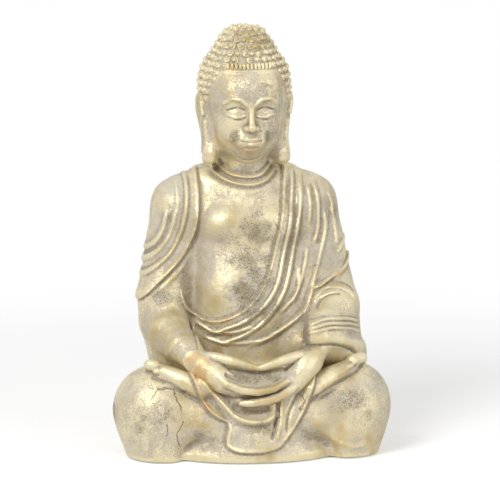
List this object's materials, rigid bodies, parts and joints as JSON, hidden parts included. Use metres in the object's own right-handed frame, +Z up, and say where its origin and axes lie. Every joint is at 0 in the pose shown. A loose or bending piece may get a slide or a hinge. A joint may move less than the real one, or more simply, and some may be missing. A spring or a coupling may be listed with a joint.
{
  "type": "buddha statue",
  "caption": "Seated meditating Buddha figure in cast stone with a rubbed antique gold finish, on a felt sheet.",
  "frame": {"origin": "centre of the whole figure's bounding box, on the table under the felt sheet", "axes": "+Z up, the figure looks along -Y, +X is to the viewer's right"},
  "size_m": [0.2616, 0.1644, 0.3964],
  "materials": {
    "cast_gold": "rubbed antique gold over grey-white base coat",
    "plain_cast": "unpainted",
    "dowel_steel": "plain",
    "felt": "felt"
  },
  "bodies": {
    "root": {"torso": "cast_gold", "right_arm": "cast_gold", "left_arm": "cast_gold", "legs": "cast_gold", "head": "cast_gold", "hair_cap": "cast_gold", "hair_curls": "cast_gold", "arm_dowels": "dowel_steel", "closing_plate": "plain_cast", "felt_sheet": "felt", "front_drape": "cast_gold", "right_forearm": "cast_gold", "left_forearm": "cast_gold", "right_hand": "cast_gold", "left_hand": "cast_gold", "right_foot": "cast_gold", "left_foot": "cast_gold"}
  },
  "joints": []
}
